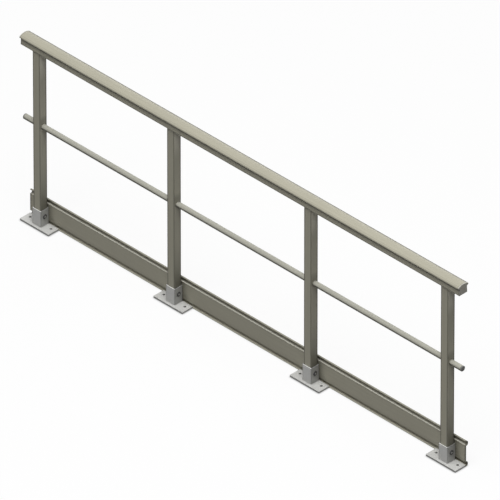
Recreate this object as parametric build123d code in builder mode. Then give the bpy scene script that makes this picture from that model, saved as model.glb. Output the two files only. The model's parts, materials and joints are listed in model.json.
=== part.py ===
# Aluminium guard rail for a walkway edge: three bays on four posts, with a shaped top rail,
# a round mid rail that runs through the posts, and a toe board behind them.
# Millimetres. X runs along the rail, Y points from the walkway towards the drop, Z is up.
# The origin is on the underside of the first base plate, on the axis of the first post.
import os

from build123d import *

# The run
overall_height = 1100
end_bay = 930
middle_bay = 940
rail_overhang = 100

# Top rail: a hollow extrusion with a crowned top and a lip along each side
rail_width = 70
rail_height = 60
rail_crown_rise = 11
rail_lip_depth = 7
rail_lip_sweep = 9
rail_neck_width = 50
rail_foot_width = 54
rail_shoulder_radius = 9
rail_foot_radius = 3
rail_wall = 3
cap_thickness = 5
cap_chamfer = 1.5
cap_spigot_depth = 12
cap_spigot_wall = 2
cap_clearance = 0.3

# Posts: rectangular hollow extrusions
post_width = 50
post_depth = 45
post_radius = 1.5
post_wall = 3

# Mid rail: a round tube through the posts, plugged at both ends
tube_diameter = 30
tube_wall = 2.5
tube_height = 598
tube_clearance = 0.3
plug_thickness = 5
plug_chamfer = 1.5
plug_spigot_depth = 15
plug_clearance = 0.3

# Toe board: a flat web with a round-backed channel along its top and its bottom edge
board_height = 150
board_thickness = 3
board_channel_mouth = 22
board_channel_depth = 12.5
board_channel_radius = 8

# Shoes: a socket on a base plate, drilled for a cross bolt and two floor anchors
plate_length = 200
plate_depth = 72
plate_thickness = 10
plate_radius = 2
socket_height = 93
socket_wall = 4.75
socket_radius = 2.5
socket_clearance = 0.25
anchor_spacing = 145
anchor_hole = 14
bolt_height = 63
bolt_hole = 13

# Places that follow from the sizes above
first_post_x = 0
second_post_x = first_post_x + end_bay
third_post_x = second_post_x + middle_bay
last_post_x = third_post_x + end_bay
post_places = (first_post_x, second_post_x, third_post_x, last_post_x)
rail_start = first_post_x - rail_overhang
rail_end = last_post_x + rail_overhang
rail_underside = overall_height - rail_height
socket_width = post_width + 2 * (socket_clearance + socket_wall)
socket_depth = post_depth + 2 * (socket_clearance + socket_wall)
socket_rear = socket_depth / 2

os.makedirs("parts", exist_ok=True)


def export(piece, name):
    """Label a finished piece and write it as a node of its own."""
    piece.part.label = name
    export_step(piece.part, f"parts/{name}.step")


def rail_section(inset):
    """The top rail's outline, drawn in from its surface by an inset."""
    side_top = rail_height - rail_crown_rise
    lip_edge = side_top - rail_lip_depth
    neck_top = lip_edge - rail_lip_sweep
    with BuildSketch() as section:
        with BuildLine():
            side = Line((rail_width / 2, side_top), (rail_width / 2, lip_edge))
            neck = Line((rail_foot_width / 2, 0), (rail_neck_width / 2, neck_top))
            TangentArc(neck @ 1, side @ 1, tangent=neck % 1)
            mirror(about=Plane.YZ)
            Line((-rail_foot_width / 2, 0), neck @ 0)
            ThreePointArc((-rail_width / 2, side_top), (0, rail_height), side @ 0)
        make_face()
        levels = section.vertices().group_by(Axis.Y)
        fillet(levels[-1], radius=rail_shoulder_radius)
        fillet(levels[0], radius=rail_foot_radius)
        if inset:
            offset(amount=-inset)
    return section.sketch


def board_section():
    """The toe board's outline: the front of its web on the Y axis, its foot on the X axis."""
    back_depth = board_channel_depth + board_thickness
    back_radius = board_channel_radius + board_thickness
    middle = board_height / 2
    mouth_top = board_height - board_thickness
    mouth_floor = mouth_top - board_channel_mouth
    with BuildSketch() as section:
        with BuildLine():
            Polyline(
                (0, middle),
                (0, mouth_floor),
                (board_channel_depth, mouth_floor),
                (board_channel_depth, mouth_top),
                (0, mouth_top),
                (0, board_height),
                (back_depth, board_height),
                (back_depth, mouth_floor - board_thickness),
                (board_thickness, mouth_floor - board_thickness),
                (board_thickness, middle),
            )
            mirror(about=Plane.XZ.offset(-middle))
        make_face()
        fillet(section.vertices().group_by(Axis.X)[-2], radius=board_channel_radius)
        fillet(section.vertices().group_by(Axis.X)[-1], radius=back_radius)
    return section.sketch


# Top rail and its end caps
with BuildPart() as top_rail:
    with BuildSketch(Plane.YZ.offset(rail_start)):
        with Locations((0, rail_underside)):
            add(rail_section(0))
            add(rail_section(rail_wall), mode=Mode.SUBTRACT)
    extrude(amount=rail_end - rail_start)
export(top_rail, "top_rail")

bar_ends = (
    ("left", Plane.YZ.offset(rail_start), -1),
    ("right", Plane.YZ.offset(rail_end), 1),
)

spigot_inset = rail_wall + cap_clearance
for side, end_plane, outward in bar_ends:
    with BuildPart() as rail_end_cap:
        with BuildSketch(end_plane):
            with Locations((0, rail_underside)):
                add(rail_section(0))
        extrude(amount=outward * cap_thickness)
        outer_face = rail_end_cap.faces().sort_by(Axis((0, 0, 0), (outward, 0, 0)))[-1]
        chamfer(outer_face.edges(), length=cap_chamfer)
        with BuildSketch(end_plane):
            with Locations((0, rail_underside)):
                add(rail_section(spigot_inset))
                add(rail_section(spigot_inset + cap_spigot_wall), mode=Mode.SUBTRACT)
        extrude(amount=-outward * cap_spigot_depth)
    export(rail_end_cap, f"rail_end_cap_{side}")

# Mid rail and its end plugs
with BuildPart() as mid_rail:
    with BuildSketch(Plane.YZ.offset(rail_start)):
        with Locations((0, tube_height)):
            Circle(tube_diameter / 2)
            Circle(tube_diameter / 2 - tube_wall, mode=Mode.SUBTRACT)
    extrude(amount=rail_end - rail_start)
export(mid_rail, "mid_rail")

spigot_radius = tube_diameter / 2 - tube_wall - plug_clearance
for side, end_plane, outward in bar_ends:
    with BuildPart() as mid_rail_plug:
        with BuildSketch(end_plane):
            with Locations((0, tube_height)):
                Circle(tube_diameter / 2)
        extrude(amount=outward * plug_thickness)
        outer_face = mid_rail_plug.faces().sort_by(Axis((0, 0, 0), (outward, 0, 0)))[-1]
        chamfer(outer_face.edges(), length=plug_chamfer)
        with BuildSketch(end_plane):
            with Locations((0, tube_height)):
                Circle(spigot_radius)
        extrude(amount=-outward * plug_spigot_depth)
    export(mid_rail_plug, f"mid_rail_plug_{side}")

# Toe board, its web flat against the backs of the sockets
with BuildPart() as toe_board:
    with BuildSketch(Plane.YZ.offset(rail_start)):
        with Locations((socket_rear, 0)):
            add(board_section())
    extrude(amount=rail_end - rail_start)
export(toe_board, "toe_board")

# Posts and their shoes
for number, post_x in enumerate(post_places, start=1):
    footing = Plane((post_x, 0, 0))
    seat = footing.offset(plate_thickness)
    across = Plane(footing.origin, x_dir=(0, 1, 0), z_dir=(1, 0, 0))

    with BuildPart() as base_plate:
        with BuildSketch(footing):
            with Locations((0, socket_rear - plate_depth / 2)):
                RectangleRounded(plate_length, plate_depth, plate_radius)
            with GridLocations(anchor_spacing, 0, 2, 1):
                Circle(anchor_hole / 2, mode=Mode.SUBTRACT)
        extrude(amount=plate_thickness)
    export(base_plate, f"base_plate_{number}")

    with BuildPart() as post_socket:
        with BuildSketch(seat):
            RectangleRounded(socket_width, socket_depth, socket_radius)
            Rectangle(
                post_width + 2 * socket_clearance,
                post_depth + 2 * socket_clearance,
                mode=Mode.SUBTRACT,
            )
        extrude(amount=socket_height)
        with BuildSketch(across):
            with Locations((0, bolt_height)):
                Circle(bolt_hole / 2)
        extrude(amount=socket_width, both=True, mode=Mode.SUBTRACT)
    export(post_socket, f"post_socket_{number}")

    with BuildPart() as post:
        with BuildSketch(seat):
            RectangleRounded(post_width, post_depth, post_radius)
            Rectangle(post_width - 2 * post_wall, post_depth - 2 * post_wall, mode=Mode.SUBTRACT)
        extrude(amount=rail_underside - plate_thickness)
        with BuildSketch(across):
            with Locations((0, bolt_height)):
                Circle(bolt_hole / 2)
            with Locations((0, tube_height)):
                Circle(tube_diameter / 2 + tube_clearance)
        extrude(amount=post_width, both=True, mode=Mode.SUBTRACT)
    export(post, f"post_{number}")
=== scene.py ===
import json
import math

import bmesh
import bpy
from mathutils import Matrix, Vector


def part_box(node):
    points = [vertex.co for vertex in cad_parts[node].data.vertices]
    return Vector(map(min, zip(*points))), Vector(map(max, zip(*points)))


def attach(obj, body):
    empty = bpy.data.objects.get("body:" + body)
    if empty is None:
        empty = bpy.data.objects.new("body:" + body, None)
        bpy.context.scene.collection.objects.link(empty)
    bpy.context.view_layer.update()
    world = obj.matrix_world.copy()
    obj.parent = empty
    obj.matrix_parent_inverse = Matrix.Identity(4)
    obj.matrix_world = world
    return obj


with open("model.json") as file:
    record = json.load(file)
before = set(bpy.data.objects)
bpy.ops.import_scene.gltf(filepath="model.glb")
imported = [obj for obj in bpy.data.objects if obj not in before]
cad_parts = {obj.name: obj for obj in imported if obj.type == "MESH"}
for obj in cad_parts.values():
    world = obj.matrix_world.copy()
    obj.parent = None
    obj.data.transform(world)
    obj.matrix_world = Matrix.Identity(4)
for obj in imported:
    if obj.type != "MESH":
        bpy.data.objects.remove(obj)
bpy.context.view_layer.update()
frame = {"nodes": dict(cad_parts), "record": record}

# Metres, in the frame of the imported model: X along the rail, Y towards the toe board, Z up.
MM = 0.001

# Cross bolts: one through each socket and post, along X
bolt_height = 63 * MM
bolt_diameter = 12 * MM
bolt_pitch = 1.75 * MM
bolt_core_share = 0.4
bolt_ridge_share = 0.42
bolt_tail = 5 * MM
bolt_bare_tip = 1 * MM
bolt_tip_edge = 0.8 * MM
bolt_head_diameter = 22 * MM
bolt_head_height = 1.8 * MM
bolt_head_edge = 0.6 * MM
bolt_head_sink = 1 * MM
bolt_boss_radius = 5.2 * MM
bolt_boss_height = 0.6 * MM
bolt_boss_edge = 0.3 * MM
bolt_nut_flats = 18 * MM
bolt_nut_height = 8 * MM
bolt_nut_bite = 0.2 * MM
washer_diameter = 26 * MM
washer_thickness = 1.5 * MM
washer_hole = 12.6 * MM
washer_edge = 0.5 * MM

# The toe board's sheet and channels, and the screws that hold it to the backs of the sockets
board_thickness = 3 * MM
channel_mouth = 22 * MM
screw_heights = (48 * MM, 84 * MM)
screw_flats = 8 * MM
screw_head_height = 4.2 * MM
screw_head_sink = 0.4 * MM
screw_flange = 13 * MM
screw_flange_height = 1.2 * MM
screw_flange_edge = 0.7 * MM
screw_seal = 12 * MM
screw_seal_hole = 6 * MM
screw_seal_height = 1.6 * MM
screw_seal_edge = 0.4 * MM

# How finely the fixings are modelled
round_sides = 48
small_round_sides = 32
thread_steps = 28
chamfer_rim_share = 0.47
touching = 0.001 * MM
merge_distance = 0.005 * MM
smooth_angle = math.radians(35)

# Painted shade, dirt and wear on the bars: depths below the top of the rail, places across it and reaches
crown_depth = 15 * MM
crown_fade = 1 * MM
near_shoulder = -27.5 * MM
near_shoulder_reach = 2.5 * MM
far_shoulder = 29 * MM
far_shoulder_reach = 12 * MM
lip_depth = 29.5 * MM
lip_reach = 6 * MM
rail_foot_reach = 8 * MM
rail_corner_reach = 35 * MM
tube_corner_reach = 50 * MM
bar_end_reach = 3 * MM

# Painted light and shade, dirt and wear on the toe board: distances from the edges of its web and rims, and
# reaches
web_fade = 1 * MM
web_margin = 4 * MM
channel_margin = 3 * MM
behind_post_full = 30 * MM
behind_post_end = 90 * MM
board_ledge_reach = 1.2 * MM
under_ledge_depth = 6.5 * MM
under_ledge_reach = 4.5 * MM
top_rim_full = 1.5 * MM
top_rim_end = 4 * MM
bottom_rim_full = 3 * MM
bottom_rim_end = 6 * MM
board_corner_reach = 60 * MM
board_end_reach = 12 * MM

# Painted light and shade, dirt and wear on the posts and their feet: heights above the floor, and reaches
# Painted shade low on the posts
low_shade_full = 100 * MM
low_shade_end = 420 * MM
# Painted light high on the posts' sides, under the top rail
painted_light_start = 860 * MM
painted_light_margin = 60 * MM
# Painted shade round the mid rail
tube_shade_rise = 25 * MM
tube_shade_reach = 50 * MM
run_off_reach = 10 * MM
post_corner_reach = 150 * MM
post_end_reach = 4 * MM
foot_corner_reach = 60 * MM
foot_crevice_reach = 12 * MM
socket_upright_reach = 6 * MM
socket_ledge_fade = 1 * MM

# Marks are at their full strength over a share of their reach
line_full_share = 0.2
side_full_share = 0.25

# How far each finish is worn or dirty along its edges
satin_edge_reach = 2.2 * MM
plate_edge_reach = 1.2 * MM
socket_edge_reach = 2 * MM
cap_edge_reach = 3.5 * MM
plug_edge_reach = 1.8 * MM
seal_edge_reach = 0.8 * MM
fixing_edge_reach = 0.6 * MM

# Heights of the fine grain in the finishes
metal_grain = 0.2 * MM
steel_grain = 0.1 * MM

# The view: isometric, on a lens so long that it shows hardly any perspective
view_azimuth = math.radians(45)
view_elevation = math.atan(1 / math.sqrt(2))
view_target = Vector((1.4529, 0, 0.5736))
view_width = 2.428
lens_length = 1700
sensor_width = 36
nearest_seen = 1.0

# The studio: a wide white floor with painted contact shade, a softbox overhead and a weaker one low behind
floor_size = 40
floor_drop = 0.2 * MM
contact_reach = 12 * MM
floor_shadow_share = 0.12
dim_light = 0.10
softbox_distance = 18
softbox_size = 13
key_direction = Vector((0.15, -0.26, 0.954))
key_power = 3230
back_direction = Vector((-0.45, 0.88, 0.15))
back_power = 800

# Where the pieces stand
post_count = 4
post_places = []
for number in range(1, post_count + 1):
    low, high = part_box(f"post_{number}")
    post_places.append((low.x + high.x) / 2)
post_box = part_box("post_1")
socket_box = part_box("post_socket_1")
rail_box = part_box("top_rail")
tube_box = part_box("mid_rail")
board_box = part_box("toe_board")
socket_width = socket_box[1].x - socket_box[0].x
tube_height = (tube_box[0].z + tube_box[1].z) / 2
web_foot = board_box[0].z + board_thickness + channel_mouth
board_ledge = board_box[1].z - board_thickness - channel_mouth
web_back = board_box[0].y + board_thickness


# Shader arithmetic


class Socket:
    """A shader socket that takes part in sums; every operator adds a Math node."""

    def __init__(self, nodes, link):
        self.nodes = nodes
        self.link = link

    def math(self, operation, *values):
        return self.nodes.add("ShaderNodeMath", {"operation": operation}, dict(enumerate(values)))

    def __add__(self, other):
        return self.math("ADD", self, other)

    def __radd__(self, other):
        return self.math("ADD", other, self)

    def __sub__(self, other):
        return self.math("SUBTRACT", self, other)

    def __rsub__(self, other):
        return self.math("SUBTRACT", other, self)

    def __mul__(self, other):
        return self.math("MULTIPLY", self, other)

    def __rmul__(self, other):
        return self.math("MULTIPLY", other, self)

    def __abs__(self):
        return self.math("ABSOLUTE", self)

    def above(self, low, high):
        """0 below low, 1 above high, and a smooth step between."""
        return self.nodes.add(
            "ShaderNodeMapRange",
            {"interpolation_type": "SMOOTHSTEP"},
            {"Value": self, "From Min": low, "From Max": high},
        )

    def near(self, middle, reach):
        """1 at a middle value, fading to 0 over a reach to either side."""
        return 1 - abs(self - middle).above(line_full_share * reach, reach)


class Nodes:
    """The node tree of a material or of the world, emptied and filled again."""

    def __init__(self, owner):
        owner.use_nodes = True
        self.tree = owner.node_tree
        self.tree.nodes.clear()

    def add(self, kind, settings, inputs, output=0):
        """Add a node with its settings and its sockets' values or links, and give an output."""
        node = self.tree.nodes.new(kind)
        for name, value in settings.items():
            setattr(node, name, value)
        for name, value in inputs.items():
            if isinstance(value, Socket):
                self.tree.links.new(value.link, node.inputs[name])
            else:
                node.inputs[name].default_value = value
        return Socket(self, node.outputs[output]) if len(node.outputs) else None

    def place(self):
        """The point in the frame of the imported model, in metres."""
        return self.add("ShaderNodeTexCoord", {}, {}, "Object")

    def noise(self, place, scale, detail=2.0, roughness=0.5):
        """Noise with its own scale along each axis, in waves to the metre."""
        stretched = self.add("ShaderNodeMapping", {"vector_type": "POINT"}, {"Vector": place, "Scale": scale})
        sockets = {"Vector": stretched, "Scale": 1.0, "Detail": detail, "Roughness": roughness}
        return self.add("ShaderNodeTexNoise", {}, sockets)

    def edges(self, reach):
        """1 along outer edges and 0 on flat faces, over a reach in metres."""
        settings = {"samples": 6, "inside": True, "only_local": True}
        open_share = self.add("ShaderNodeAmbientOcclusion", settings, {"Distance": reach}, "AO")
        return (1 - open_share).above(0.02, 0.5)

    def corners(self, reach):
        """1 deep in the corners where pieces meet and 0 in the open, over a reach in metres."""
        open_share = self.add("ShaderNodeAmbientOcclusion", {"samples": 8}, {"Distance": reach}, "AO")
        return (1 - open_share).above(0.04, 0.6)

    def axis(self, vector, letter):
        """One of the three numbers of a place or a normal."""
        return self.add("ShaderNodeSeparateXYZ", {}, {"Vector": vector}, letter)

    def facing(self, letter):
        """The share of the surface's normal along one axis."""
        return self.axis(self.add("ShaderNodeNewGeometry", {}, {}, "Normal"), letter)

    def facing_along(self):
        """1 on faces that look along the rail, either way."""
        return abs(self.facing("X")).above(0.5, 0.9)

    def facing_up(self, low=0.5, high=0.9):
        """1 on faces that look up, with the slopes where that starts and is full."""
        return self.facing("Z").above(low, high)

    def mix(self, factor, first, second):
        """One colour fading into another."""
        return self.add("ShaderNodeMix", {"data_type": "RGBA"}, {0: factor, 6: first, 7: second}, 2)

    def bump(self, height, strength, distance):
        """A fine relief for the shader's normal."""
        sockets = {"Height": height, "Strength": strength, "Distance": distance}
        return self.add("ShaderNodeBump", {}, sockets)

    def surface(self, sockets):
        """End the tree in one Principled shader."""
        shader = self.add("ShaderNodeBsdfPrincipled", {}, sockets)
        self.add("ShaderNodeOutputMaterial", {}, {"Surface": shader})


def shade(red, green, blue):
    """A colour as a shader socket takes it."""
    return (red, green, blue, 1.0)


def even(scale):
    """One scale along all three axes."""
    return (scale, scale, scale)


# Colours: metals and plastics from dark to light, then what lies on them: dirt, wear, and painted light and
# shade

warm_grey = (shade(0.440, 0.421, 0.335), shade(0.515, 0.495, 0.396))
pale_grey = (shade(0.465, 0.458, 0.392), shade(0.545, 0.538, 0.465))
mill_grey = (shade(0.655, 0.655, 0.635), shade(0.735, 0.735, 0.715))
cap_grey = (shade(0.56, 0.54, 0.475), shade(0.64, 0.62, 0.55))
plug_grey = (shade(0.23, 0.23, 0.22), shade(0.29, 0.29, 0.28))
seal_black = (shade(0.03, 0.03, 0.03), shade(0.05, 0.05, 0.05))
fixing_black = (shade(0.060, 0.060, 0.060), shade(0.095, 0.095, 0.095))
# Dark grime, also laid on as painted shade in corners, under lips and on undersides
shade_and_grime = shade(0.15, 0.145, 0.115)
# Grey grime, also laid on as painted shade in the corners and on the sides of the feet
grey_shade_and_grime = shade(0.20, 0.20, 0.19)
mill_edge_grime = shade(0.17, 0.17, 0.165)
plastic_edge_grime = shade(0.10, 0.10, 0.09)
handled_metal = shade(0.380, 0.365, 0.300)
# Painted light: lifts the sides of the posts and the toe board's bottom rim
painted_light_metal = shade(0.80, 0.77, 0.64)
# Painted highlight on the toe board's ledge
painted_highlight_metal = shade(0.92, 0.90, 0.82)
nicked_metal = shade(0.62, 0.61, 0.56)
# Painted light on the plates' ends and the sockets' front ledges
painted_light_mill_metal = shade(0.95, 0.95, 0.93)
# Painted shade on the sockets' side and rear ledges
painted_shade_mill_metal = shade(0.30, 0.30, 0.29)
nicked_mill_metal = shade(0.8, 0.8, 0.79)
turned_steel = shade(0.52, 0.52, 0.51)
rubbed_steel = shade(0.40, 0.40, 0.39)
white = shade(1.0, 1.0, 1.0)
floor_grey = shade(0.08, 0.08, 0.08)


# Stains and painted light and shade: each piece's marks as pairs of a mask and a colour, laid on in turn


def ends(value, low, high, reach):
    """1 close to either end of a span of one axis."""
    half = (high - low) / 2
    return abs(value - (low + high) / 2).above(half - reach, half - line_full_share * reach)


def away_from_posts(nodes, place, near, far):
    """0 nearer to the middle of a post than one distance along the rail, 1 past another."""
    mask = 1
    for post_x in post_places:
        mask = mask * abs(nodes.axis(place, "X") - post_x).above(near, far)
    return mask


def left_and_right(nodes, place, box, reach):
    """1 close to the left and right sides of each post, or of each socket."""
    half_width = (box[1].x - box[0].x) / 2
    return away_from_posts(nodes, place, half_width - reach, half_width - side_full_share * reach)


def front_and_rear(nodes, place, box, reach):
    """1 close to the front and rear of each post, or of each socket."""
    half_depth = (box[1].y - box[0].y) / 2
    return abs(nodes.axis(place, "Y")).above(half_depth - reach, half_depth - side_full_share * reach)


def rail_shade_and_stains(nodes, place):
    """Painted shade in the corners and under the lip; darker along the far shoulder of the crown; dark lines
    along the near shoulder, the foot and the ends.
    """
    low, high = rail_box
    along, across, up = (nodes.axis(place, letter) for letter in "XYZ")
    crown = up.above(high.z - crown_depth - crown_fade, high.z - crown_depth)
    return (
        # Painted shade in the corners and under the lip
        (nodes.corners(rail_corner_reach) * 0.4, shade_and_grime),
        (across.near(near_shoulder, near_shoulder_reach) * crown * 0.25, shade_and_grime),
        (across.near(far_shoulder, far_shoulder_reach) * crown, shade_and_grime),
        (up.near(high.z - lip_depth, lip_reach) * 0.6, shade_and_grime),
        (up.near(low.z, rail_foot_reach) * 0.55, shade_and_grime),
        (ends(along, low.x, high.x, bar_end_reach) * 0.6, shade_and_grime),
    )


def tube_shade_and_stains(nodes, place):
    """Painted shade in the corners and on the underside; dark ends."""
    low, high = tube_box
    underside = 1 - nodes.facing_up(0.04, 0.36)
    return (
        # Painted shade in the corners and on the underside
        (nodes.corners(tube_corner_reach) * 0.3, shade_and_grime),
        (underside * 0.95, shade_and_grime),
        (ends(nodes.axis(place, "X"), low.x, high.x, bar_end_reach) * 0.6, shade_and_grime),
    )


def board_light_shade_and_stains(nodes, place):
    """Painted shade in the corners, in the channel and behind the posts; a painted highlight on the ledge and
    painted light on the bottom rim; darker on the top rim, along a line below the ledge and at the ends.
    """
    low, high = board_box
    along, up = (nodes.axis(place, letter) for letter in "XZ")
    above_web_foot = up.above(web_foot - web_fade, web_foot)
    web = above_web_foot - up.above(board_ledge - web_margin, board_ledge - web_fade)
    channel = up.above(board_ledge + web_fade, board_ledge + channel_margin)
    behind_post = 1 - away_from_posts(nodes, place, behind_post_full, behind_post_end)
    ledge = up.near(board_ledge, board_ledge_reach) * nodes.facing_up(0.3, 0.7)
    top_rim = up.above(high.z - top_rim_end, high.z - top_rim_full)
    bottom_rim = 1 - up.above(low.z + bottom_rim_full, low.z + bottom_rim_end)
    return (
        # Painted shade in the corners, the channel and behind the posts; painted light on the ledge and the
        # bottom rim
        (nodes.corners(board_corner_reach) * (web * 0.55 + 0.35), shade_and_grime),
        (channel * (behind_post * 0.4 + 0.25), shade_and_grime),
        (up.near(board_ledge - under_ledge_depth, under_ledge_reach) * 0.2, shade_and_grime),
        (ledge * 0.65, painted_highlight_metal),
        (top_rim * 0.3, shade_and_grime),
        (bottom_rim * 0.35, painted_light_metal),
        (ends(along, low.x, high.x, board_end_reach) * 0.85, shade_and_grime),
    )


def post_light_shade_and_stains(nodes, place):
    """Painted shade low down and round the mid rail; dirt down the run-off edges and at the ends; painted
    light on the sides, strongest under the top rail.
    """
    across, up = (nodes.axis(place, letter) for letter in "YZ")
    socket_top = socket_box[1].z
    rail_foot = rail_box[0].z
    post_rear = post_box[1].y
    sideways = nodes.facing_along()
    near_floor = 1 - up.above(low_shade_full, low_shade_end)
    painted_light_high = up.above(painted_light_start, rail_foot - painted_light_margin)
    rear = across.above(post_rear - run_off_reach, post_rear - side_full_share * run_off_reach)
    sides = left_and_right(nodes, place, post_box, run_off_reach)
    return (
        # Painted light on the sides, most under the top rail; then painted shade low down and round the mid
        # rail
        (sideways * (painted_light_high * 0.8 + 0.15), painted_light_metal),
        (nodes.corners(post_corner_reach) * near_floor * 0.7, shade_and_grime),
        (near_floor * sideways * 0.62, shade_and_grime),
        (up.near(tube_height + tube_shade_rise, tube_shade_reach) * sideways * 0.5, shade_and_grime),
        ((sideways * rear + (1 - sideways) * sides) * 0.85, shade_and_grime),
        (ends(up, socket_top, rail_foot, post_end_reach) * 0.6, shade_and_grime),
    )


def plate_light_shade_and_stains(nodes, place):
    """Painted shade in the corner round the socket, below the toe board and in the crevices; painted light on
    the ends.
    """
    return (
        # Painted shade in the corners and crevices; painted light on the ends
        (nodes.corners(foot_corner_reach) * (1 - nodes.facing_up() * 0.8) * 0.7, grey_shade_and_grime),
        (nodes.corners(foot_crevice_reach) * 0.5, grey_shade_and_grime),
        (nodes.facing_along() * 0.4, painted_light_mill_metal),
    )


def socket_light_shade_and_stains(nodes, place):
    """Painted shade near the toe board and on the sides; dirt down the upright edges; a painted highlight on
    the ledge in front and painted shade on the other ledges.
    """
    ledge = nodes.facing_up()
    post_front = post_box[0].y
    off_front = nodes.axis(place, "Y").above(post_front - socket_ledge_fade, post_front)
    depth_edges = front_and_rear(nodes, place, socket_box, socket_upright_reach)
    width_edges = left_and_right(nodes, place, socket_box, socket_upright_reach)
    return (
        # Painted shade in the corner and on the sides; a painted highlight on the front ledge, painted shade
        # on the others
        (nodes.corners(foot_corner_reach) * (1 - ledge * 0.8) * 0.42, grey_shade_and_grime),
        (nodes.facing_along() * 0.33, grey_shade_and_grime),
        (ledge, nodes.mix(off_front, painted_light_mill_metal, painted_shade_mill_metal)),
        (depth_edges * width_edges * 0.45, grey_shade_and_grime),
    )


# Finishes


def satin_aluminium(name, along, tones, shade_and_stains, edge_share):
    """Anodised aluminium: faint die lines along it, handling marks, dark edges, and its own stains and
    painted light and shade.
    """
    material = bpy.data.materials.new(name)
    nodes = Nodes(material)
    place = nodes.place()

    def drawn(across_scale, along_scale, detail):
        """Noise drawn out along the bar."""
        scale = list(even(across_scale))
        scale["XYZ".index(along)] = along_scale
        return nodes.noise(place, scale, detail)

    hairlines = drawn(2600.0, 6.0, detail=3.0)
    streaks = drawn(900.0, 2.0, detail=2.0)
    die_lines = drawn(240.0, 0.8, detail=2.0)
    clouds = nodes.noise(place, even(4.0), detail=3.0)
    marks = nodes.noise(place, even(60.0), detail=4.0, roughness=0.65).above(0.62, 0.74)
    nicks = nodes.noise(place, even(140.0), detail=3.0).above(0.56, 0.66)
    edge = nodes.edges(satin_edge_reach)

    tone = (die_lines - 0.5) * 0.9 + (streaks - 0.5) * 1.1 + (clouds - 0.5) * 0.9 + 0.5
    colour = nodes.mix(tone, *tones)
    colour = nodes.mix(marks * 0.25, colour, handled_metal)
    # Each piece's stains and its painted light and shade
    for mask, mark_colour in shade_and_stains(nodes, place):
        colour = nodes.mix(mask, colour, mark_colour)
    colour = nodes.mix(edge * edge_share, colour, shade_and_grime)
    colour = nodes.mix(edge * nicks * edge_share, colour, nicked_metal)
    nodes.surface(
        {
            "Base Color": colour,
            "Metallic": 0.04,
            "Roughness": 0.5 + (hairlines - 0.5) * 0.16 + (clouds - 0.5) * 0.12 + marks * 0.08,
            "Specular IOR Level": 0.22,
            "Normal": nodes.bump(hairlines * 0.4 + streaks * 0.4 + die_lines * 0.4, 0.3, metal_grain),
        }
    )
    return material


def mill_aluminium(name, shade_and_stains, edge_reach, edge_share):
    """Plain grey aluminium as it leaves the mill, faintly mottled, with its own stains and painted light and
    shade.
    """
    material = bpy.data.materials.new(name)
    nodes = Nodes(material)
    place = nodes.place()
    mottle = nodes.noise(place, even(38.0), detail=4.0, roughness=0.6)
    drag = nodes.noise(place, (25.0, 900.0, 120.0), detail=2.0)
    pits = nodes.noise(place, even(1500.0), detail=2.0)
    nicks = nodes.noise(place, even(140.0), detail=3.0).above(0.54, 0.64)
    edge = nodes.edges(edge_reach)

    tone = (mottle - 0.5) * 0.9 + (drag - 0.5) * 0.9 + 0.5
    colour = nodes.mix(tone, *mill_grey)
    # Each piece's stains and its painted light and shade
    for mask, mark_colour in shade_and_stains(nodes, place):
        colour = nodes.mix(mask, colour, mark_colour)
    colour = nodes.mix(edge * edge_share, colour, mill_edge_grime)
    colour = nodes.mix(edge * nicks * 0.7, colour, nicked_mill_metal)
    nodes.surface(
        {
            "Base Color": colour,
            "Metallic": 0.1,
            "Roughness": 0.42 + (mottle - 0.5) * 0.2 + (pits - 0.5) * 0.1,
            "Specular IOR Level": 0.2,
            "Normal": nodes.bump(pits * 0.5 + drag * 0.5, 0.25, metal_grain),
        }
    )
    return material


def moulded_plastic(name, tones, edge_reach, edge_share):
    """Matt moulded plastic with a fine spark-eroded grain, its edges dark where rain doesn't wash them."""
    material = bpy.data.materials.new(name)
    nodes = Nodes(material)
    place = nodes.place()
    grain = nodes.noise(place, even(1800.0), detail=2.0)
    patches = nodes.noise(place, even(70.0), detail=3.0)
    edge = nodes.edges(edge_reach) * (1 - nodes.facing_up(0.2, 0.6))

    colour = nodes.mix((patches - 0.5) * 0.8 + 0.5, *tones)
    colour = nodes.mix(edge * edge_share, colour, plastic_edge_grime)
    nodes.surface(
        {
            "Base Color": colour,
            "Roughness": 0.58 + (grain - 0.5) * 0.2,
            "Specular IOR Level": 0.3,
            "Normal": nodes.bump(grain, 0.35, metal_grain),
        }
    )
    return material


def black_steel(name):
    """Black steel of the fixings, with the middle of each bolt turned bright."""
    material = bpy.data.materials.new(name)
    nodes = Nodes(material)
    place = nodes.place()
    clouds = nodes.noise(place, even(260.0), detail=3.0)
    turned = nodes.noise(place, even(1400.0), detail=2.0)
    across = nodes.axis(place, "Y")
    over = nodes.axis(place, "Z") - bolt_height
    off_boss = (across * across + over * over).above((0.9 * bolt_boss_radius) ** 2, bolt_boss_radius**2)

    colour = nodes.mix(clouds, *fixing_black)
    colour = nodes.mix(1 - off_boss, colour, turned_steel)
    colour = nodes.mix(nodes.edges(fixing_edge_reach) * 0.12, colour, rubbed_steel)
    nodes.surface(
        {
            "Base Color": colour,
            "Metallic": 0.3,
            "Roughness": 0.42 + (clouds - 0.5) * 0.25,
            "Normal": nodes.bump(turned, 0.2, steel_grain),
        }
    )
    return material


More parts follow.
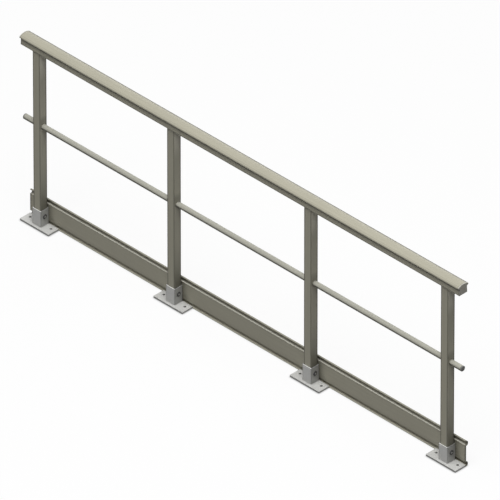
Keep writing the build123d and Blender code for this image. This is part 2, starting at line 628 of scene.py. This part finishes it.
finish_of_slot = {
    "rail_metal": satin_aluminium("rail_finish", "X", warm_grey, rail_shade_and_stains, edge_share=0.6),
    "rail_cap": moulded_plastic("cap_finish", cap_grey, cap_edge_reach, edge_share=0.95),
    "tube_metal": satin_aluminium("tube_finish", "X", pale_grey, tube_shade_and_stains, edge_share=0.6),
    "tube_plug": moulded_plastic("plug_finish", plug_grey, plug_edge_reach, edge_share=0.35),
    "board_metal": satin_aluminium("board_finish", "X", warm_grey, board_light_shade_and_stains, edge_share=0.1),
    "post_metal": satin_aluminium("post_finish", "Z", warm_grey, post_light_shade_and_stains, edge_share=0.4),
    "shoe_metal": mill_aluminium("plate_finish", plate_light_shade_and_stains, plate_edge_reach, edge_share=0.6),
}
socket_finish = mill_aluminium("socket_finish", socket_light_shade_and_stains, socket_edge_reach, edge_share=0.35)
seal_finish = moulded_plastic("seal_finish", seal_black, seal_edge_reach, edge_share=0.35)
fixing_finish = black_steel("fixing_finish")

for subpart in frame["record"]["subparts"]:
    node = frame["nodes"][subpart["node"]]
    finish = finish_of_slot[subpart["material_slot"]]
    if subpart["node"].startswith("post_socket"):
        finish = socket_finish
    node.data.materials.clear()
    node.data.materials.append(finish)


# Modelling by hand


def clear_selection():
    bpy.ops.object.select_all(action="DESELECT")


def select_only(*pieces):
    clear_selection()
    for piece in pieces:
        piece.select_set(True)
    bpy.context.view_layer.objects.active = pieces[0]


def settle():
    """Leave the selected piece's place, turn and size in its mesh."""
    bpy.ops.object.transform_apply(location=True, rotation=True, scale=True)


def take_new(name):
    """The piece that was just added, named and settled."""
    piece = bpy.context.object
    piece.name = name
    settle()
    return piece


def open_edit(piece, pick_edges, pick_faces):
    """Open a piece in edit mode with nothing picked, ready to pick edges or faces."""
    select_only(piece)
    bpy.ops.object.mode_set(mode="EDIT")
    bpy.context.tool_settings.mesh_select_mode = (False, pick_edges, pick_faces)
    bpy.ops.mesh.select_all(action="DESELECT")
    return bmesh.from_edit_mesh(piece.data)


def close_edit():
    bpy.ops.object.mode_set(mode="OBJECT")


def edit_faces(piece, wanted):
    """Open a piece in edit mode with only the wanted faces picked, by their middle and normal."""
    mesh = open_edit(piece, pick_edges=False, pick_faces=True)
    mesh.normal_update()
    for face in mesh.faces:
        face.select_set(wanted(face.calc_center_median(), face.normal))
    bmesh.update_edit_mesh(piece.data)


def ease_edges(piece, wanted, width, segments):
    """Round off the wanted edges of a piece, picked by their two ends."""
    mesh = open_edit(piece, pick_edges=True, pick_faces=False)
    for edge in mesh.edges:
        edge.select_set(wanted(edge.verts[0].co, edge.verts[1].co))
    mesh.select_flush_mode()
    bmesh.update_edit_mesh(piece.data)
    bpy.ops.mesh.bevel(offset=width, segments=segments)
    close_edit()


def at_top(height):
    """Picks the edges that lie at a height, the piece's top."""
    return lambda first, second: min(first.z, second.z) > height - touching


def at_bottom(height):
    """Picks the edges that lie at a height, the piece's bottom."""
    return lambda first, second: max(first.z, second.z) < height + touching


def edit_merged(piece, distance):
    """Open a piece in edit mode, all picked, with points merged that lie closer than a distance."""
    select_only(piece)
    bpy.ops.object.mode_set(mode="EDIT")
    bpy.ops.mesh.select_all(action="SELECT")
    bpy.ops.mesh.remove_doubles(threshold=distance)


def cylinder(name, sides, radius, low, high):
    """A cylinder about Z between two heights."""
    clear_selection()
    middle = (0, 0, (low + high) / 2)
    bpy.ops.mesh.primitive_cylinder_add(vertices=sides, radius=radius, depth=high - low, location=middle)
    return take_new(name)


def cone(name, low, low_radius, high, high_radius):
    """A cone about Z between two heights."""
    clear_selection()
    middle = (0, 0, (low + high) / 2)
    bpy.ops.mesh.primitive_cone_add(
        vertices=round_sides, radius1=low_radius, radius2=high_radius, depth=high - low, location=middle
    )
    return take_new(name)


def combine(piece, other, operation):
    """Join, cut or keep the overlap of two pieces, and remove the second."""
    select_only(piece)
    bpy.ops.object.modifier_add(type="BOOLEAN")
    modifier = piece.modifiers[-1]
    modifier.operation = operation
    modifier.solver = "EXACT"
    modifier.object = other
    bpy.ops.object.modifier_apply(modifier=modifier.name)
    bpy.data.objects.remove(other)


def hexagon(name, flats, low, high, chamfered):
    """A hexagon block about Z, its corners chamfered by a cone at the ends named."""
    piece = cylinder(name, 6, flats / math.sqrt(3), low, high)
    rim = flats * chamfer_rim_share
    spread = rim + (high - low) * math.sqrt(3)
    if "high" in chamfered:
        combine(piece, cone("chamfer", low, spread, high, rim), "INTERSECT")
    if "low" in chamfered:
        combine(piece, cone("chamfer", low, rim, high, spread), "INTERSECT")
    return piece


def thread(name, radius, pitch, low, high):
    """The ridge of a screw thread about Z."""
    clear_selection()
    depth = pitch * bolt_ridge_share
    bpy.ops.mesh.primitive_circle_add(
        vertices=3,
        radius=depth,
        fill_type="NOTHING",
        location=(radius - depth, 0, low),
        rotation=(math.radians(90), math.radians(90), 0),
    )
    piece = take_new(name)
    bpy.ops.object.modifier_add(type="SCREW")
    modifier = piece.modifiers[-1]
    modifier.axis = "Z"
    modifier.screw_offset = pitch
    modifier.iterations = round((high - low) / pitch)
    modifier.steps = thread_steps
    modifier.render_steps = thread_steps
    bpy.ops.object.modifier_apply(modifier=modifier.name)
    edit_merged(piece, touching)
    bpy.ops.mesh.fill_holes(sides=0)
    bpy.ops.mesh.normals_make_consistent(inside=False)
    close_edit()
    return piece


def ring(name, radius, hole_radius, low, high, edge_width):
    """A flat washer about Z with its outer edges eased."""
    piece = cylinder(name, round_sides, radius, low, high)
    edit_faces(piece, lambda middle, normal: abs(normal.z) > 0.9)
    bpy.ops.mesh.inset(thickness=radius - hole_radius, use_individual=True)
    bpy.ops.mesh.bridge_edge_loops()
    close_edit()

    def rim(first, second):
        level = abs(first.z - second.z) < touching
        return level and min(first.xy.length, second.xy.length) > radius - touching

    ease_edges(piece, rim, edge_width, segments=2)
    return piece


def finish_piece(piece, finish):
    """Clean and smooth a finished shape, give it its finish and set it on the part."""
    edit_merged(piece, merge_distance)
    close_edit()
    bpy.ops.object.shade_smooth_by_angle(angle=smooth_angle)
    piece.data.name = piece.name
    piece.data.materials.clear()
    piece.data.materials.append(finish)
    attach(piece, "root")


def put(piece, place, turn):
    """Turn and move a piece from where it was modelled."""
    select_only(piece)
    piece.rotation_euler = turn
    piece.location = place
    settle()


def copy_along(piece, name, post_number, rise=0):
    """A copy with a mesh of its own, shifted from the first post to another, and up."""
    select_only(piece)
    bpy.ops.object.duplicate(linked=False)
    twin = bpy.context.object
    twin.name = name
    twin.data.name = name
    twin.location = (post_places[post_number - 1] - post_places[0], 0, rise)
    settle()
    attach(twin, "root")


# Cross bolt, modelled about Z with its head upwards and the socket's face at 0
head_low = washer_thickness
head_high = head_low + bolt_head_height
nut_high = -socket_width - washer_thickness
nut_low = nut_high - bolt_nut_height
bolt_end = nut_low - bolt_tail
bolt_radius = bolt_diameter / 2
head_radius = bolt_head_diameter / 2
core_radius = bolt_radius - bolt_pitch * bolt_core_share

bolt = cylinder("cross_bolt_1", round_sides, head_radius, head_low, head_high)
ease_edges(bolt, at_top(head_high), bolt_head_edge, segments=3)
edit_faces(bolt, lambda middle, normal: middle.z > head_high - touching)
bpy.ops.mesh.inset(thickness=head_radius - bolt_head_edge - bolt_boss_radius)
bpy.ops.mesh.extrude_region_move(TRANSFORM_OT_translate={"value": (0, 0, bolt_boss_height)})
bpy.ops.mesh.bevel(offset=bolt_boss_edge, segments=2)
close_edit()
shank = cylinder("shank", small_round_sides, core_radius, bolt_end, head_low + bolt_head_sink)
ease_edges(shank, at_bottom(bolt_end), bolt_tip_edge, segments=2)
combine(bolt, shank, "UNION")
ridge = thread("ridge", bolt_radius, bolt_pitch, bolt_end + bolt_bare_tip, nut_high + washer_thickness)
select_only(bolt, ridge)
bpy.ops.object.join()

washer_radii = (washer_diameter / 2, washer_hole / 2)
head_washer = ring("head_washer_1", *washer_radii, 0, head_low, washer_edge)
nut_washer = ring("nut_washer_1", *washer_radii, nut_high, -socket_width, washer_edge)
nut = hexagon("cross_nut_1", bolt_nut_flats, nut_low, nut_high, ("low", "high"))
combine(nut, cylinder("bore", small_round_sides, bolt_radius - bolt_nut_bite, bolt_end, 0), "DIFFERENCE")

bolt_seat = (socket_box[1].x, 0, bolt_height)
head_to_right = (0, math.radians(90), 0)
for piece in (bolt, nut, head_washer, nut_washer):
    put(piece, bolt_seat, head_to_right)
    finish_piece(piece, fixing_finish)
    kind = piece.name.removesuffix("_1")
    for number in range(2, post_count + 1):
        copy_along(piece, f"{kind}_{number}", number)

# Toe board screw, modelled about Z with the back of the web at 0
flange_low = screw_seal_height
flange_high = flange_low + screw_flange_height
screw_low = flange_high - screw_head_sink
screw_high = flange_high + screw_head_height

screw = hexagon("board_screw_1_low", screw_flats, screw_low, screw_high, ("high",))
flange = cylinder("flange", small_round_sides, screw_flange / 2, flange_low, flange_high)
ease_edges(flange, at_top(flange_high), screw_flange_edge, segments=3)
combine(screw, flange, "UNION")
seal_radii = (screw_seal / 2, screw_seal_hole / 2)
seal = ring("screw_seal_1_low", *seal_radii, 0, screw_seal_height, screw_seal_edge)

low_height, high_height = screw_heights
screw_rise = high_height - low_height
head_to_rear = (math.radians(-90), 0, 0)
for piece, finish in ((screw, fixing_finish), (seal, seal_finish)):
    put(piece, (post_places[0], web_back, low_height), head_to_rear)
    finish_piece(piece, finish)
    kind = piece.name.removesuffix("_1_low")
    copy_along(piece, f"{kind}_1_high", 1, screw_rise)
    for number in range(2, post_count + 1):
        copy_along(piece, f"{kind}_{number}_low", number)
        copy_along(piece, f"{kind}_{number}_high", number, screw_rise)


# Floor, light and view

clear_selection()
bpy.ops.mesh.primitive_plane_add(size=floor_size, location=(view_target.x, 0, -floor_drop))
floor = bpy.context.object
floor.name = "floor"


def seen(nodes):
    """1 for rays that show the background itself, straight or in a reflection."""
    rays = ("Is Camera Ray", "Is Glossy Ray", "Is Transmission Ray")
    camera, glossy, transmission = (nodes.add("ShaderNodeLightPath", {}, {}, ray) for ray in rays)
    return (camera + glossy + transmission).above(0.0, 0.5)


floor_paint = bpy.data.materials.new("floor_paint")
nodes = Nodes(floor_paint)
unseen_floor = nodes.add("ShaderNodeBsdfDiffuse", {}, {"Color": floor_grey})
lit_floor = nodes.add("ShaderNodeBsdfDiffuse", {}, {"Color": white})
# The glow darkens near the pieces and in the holes: painted contact shade
painted_contact_shade = nodes.add("ShaderNodeAmbientOcclusion", {"samples": 8}, {"Distance": contact_reach}, "Color")
glow = nodes.add("ShaderNodeEmission", {}, {"Color": painted_contact_shade, "Strength": 1.0})
white_floor = nodes.add("ShaderNodeMixShader", {}, {0: floor_shadow_share, 1: glow, 2: lit_floor})
mixed = nodes.add("ShaderNodeMixShader", {}, {0: seen(nodes), 1: unseen_floor, 2: white_floor})
nodes.add("ShaderNodeOutputMaterial", {}, {"Surface": mixed})
floor.data.materials.append(floor_paint)

world = bpy.data.worlds.new("studio")
bpy.context.scene.world = world
nodes = Nodes(world)
dim = nodes.add("ShaderNodeBackground", {}, {"Color": white, "Strength": dim_light})
bright = nodes.add("ShaderNodeBackground", {}, {"Color": white, "Strength": 1.0})
mixed = nodes.add("ShaderNodeMixShader", {}, {0: seen(nodes), 1: dim, 2: bright})
nodes.add("ShaderNodeOutputWorld", {}, {"Surface": mixed})


def softbox(name, direction, power):
    """A large square lamp that faces the middle of the view."""
    clear_selection()
    place = view_target + softbox_distance * direction
    turn = (view_target - place).to_track_quat("-Z", "Y").to_euler()
    bpy.ops.object.light_add(type="AREA", location=place, rotation=turn)
    lamp = bpy.context.object
    lamp.name = name
    lamp.data.shape = "SQUARE"
    lamp.data.size = softbox_size
    lamp.data.energy = power
    lamp.visible_camera = False


softbox("key_softbox", key_direction, key_power)
softbox("back_softbox", back_direction, back_power)

view_back = Vector(
    (
        math.sin(view_azimuth) * math.cos(view_elevation),
        -math.cos(view_azimuth) * math.cos(view_elevation),
        math.sin(view_elevation),
    )
)
view_distance = view_width * lens_length / sensor_width
clear_selection()
bpy.ops.object.camera_add(
    location=view_target + view_back * view_distance,
    rotation=(-view_back).to_track_quat("-Z", "Y").to_euler(),
)
camera = bpy.context.object
camera.name = "view"
camera.data.lens = lens_length
camera.data.sensor_width = sensor_width
camera.data.clip_start = nearest_seen
camera.data.clip_end = 2 * view_distance
bpy.context.scene.camera = camera
bpy.context.scene.view_settings.view_transform = "Standard"
